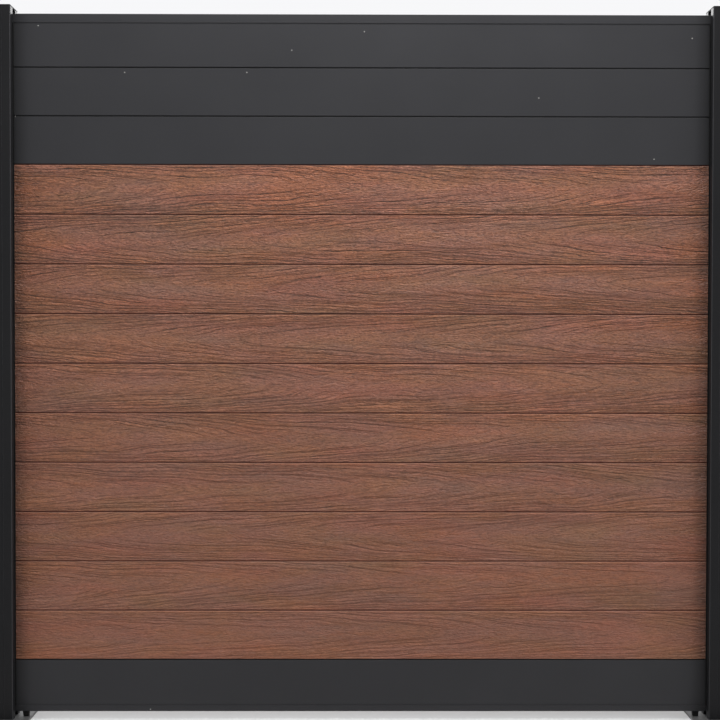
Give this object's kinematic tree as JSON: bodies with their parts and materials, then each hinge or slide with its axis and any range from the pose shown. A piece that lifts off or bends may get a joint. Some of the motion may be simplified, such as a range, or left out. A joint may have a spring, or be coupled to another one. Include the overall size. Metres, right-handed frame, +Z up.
{
  "type": "horizontal slat fence panel",
  "caption": "Privacy fence panel of wood-grain composite boards and smooth metal slats, stacked tongue and groove between two slotted posts on base plates.",
  "frame": {"origin": "on the ground, under the middle of the panel", "axes": "+X along the panel, +Y from the front to the back, +Z up"},
  "size_m": [2, 0.15, 1.825],
  "materials": {
    "composite": "embossed brown wood grain, matt",
    "slat_coating": "graphite powder coat, satin",
    "post_coating": "graphite powder coat, satin",
    "plate_coating": "grey powder coat, satin",
    "cap_plastic": "matt black",
    "seal_rubber": "matt black",
    "foot_rubber": "matt black",
    "screw_steel": "plain zinc"
  },
  "bodies": {
    "root": {"base_plate_left": "plate_coating", "base_plate_right": "plate_coating", "bottom_rail": "slat_coating", "composite_board_01": "composite", "composite_board_02": "composite", "composite_board_03": "composite", "composite_board_04": "composite", "composite_board_05": "composite", "composite_board_06": "composite", "composite_board_07": "composite", "composite_board_08": "composite", "composite_board_09": "composite", "composite_board_10": "composite", "filler_back_left": "post_coating", "filler_back_right": "post_coating", "filler_front_left": "post_coating", "filler_front_right": "post_coating", "filler_outer_left": "post_coating", "filler_outer_right": "post_coating", "fixing_screw_left": "screw_steel", "fixing_screw_right": "screw_steel", "metal_slat_01": "slat_coating", "metal_slat_02": "slat_coating", "metal_slat_03": "slat_coating", "metal_slat_04": "slat_coating", "post_cap_left": "cap_plastic", "post_cap_right": "cap_plastic", "post_left": "post_coating", "post_right": "post_coating", "rail_foot_left": "foot_rubber", "rail_foot_right": "foot_rubber", "seal_back_left": "seal_rubber", "seal_back_right": "seal_rubber", "seal_front_left": "seal_rubber", "seal_front_right": "seal_rubber", "spigot_left": "plate_coating", "spigot_right": "plate_coating", "top_rail": "slat_coating"}
  },
  "joints": []
}
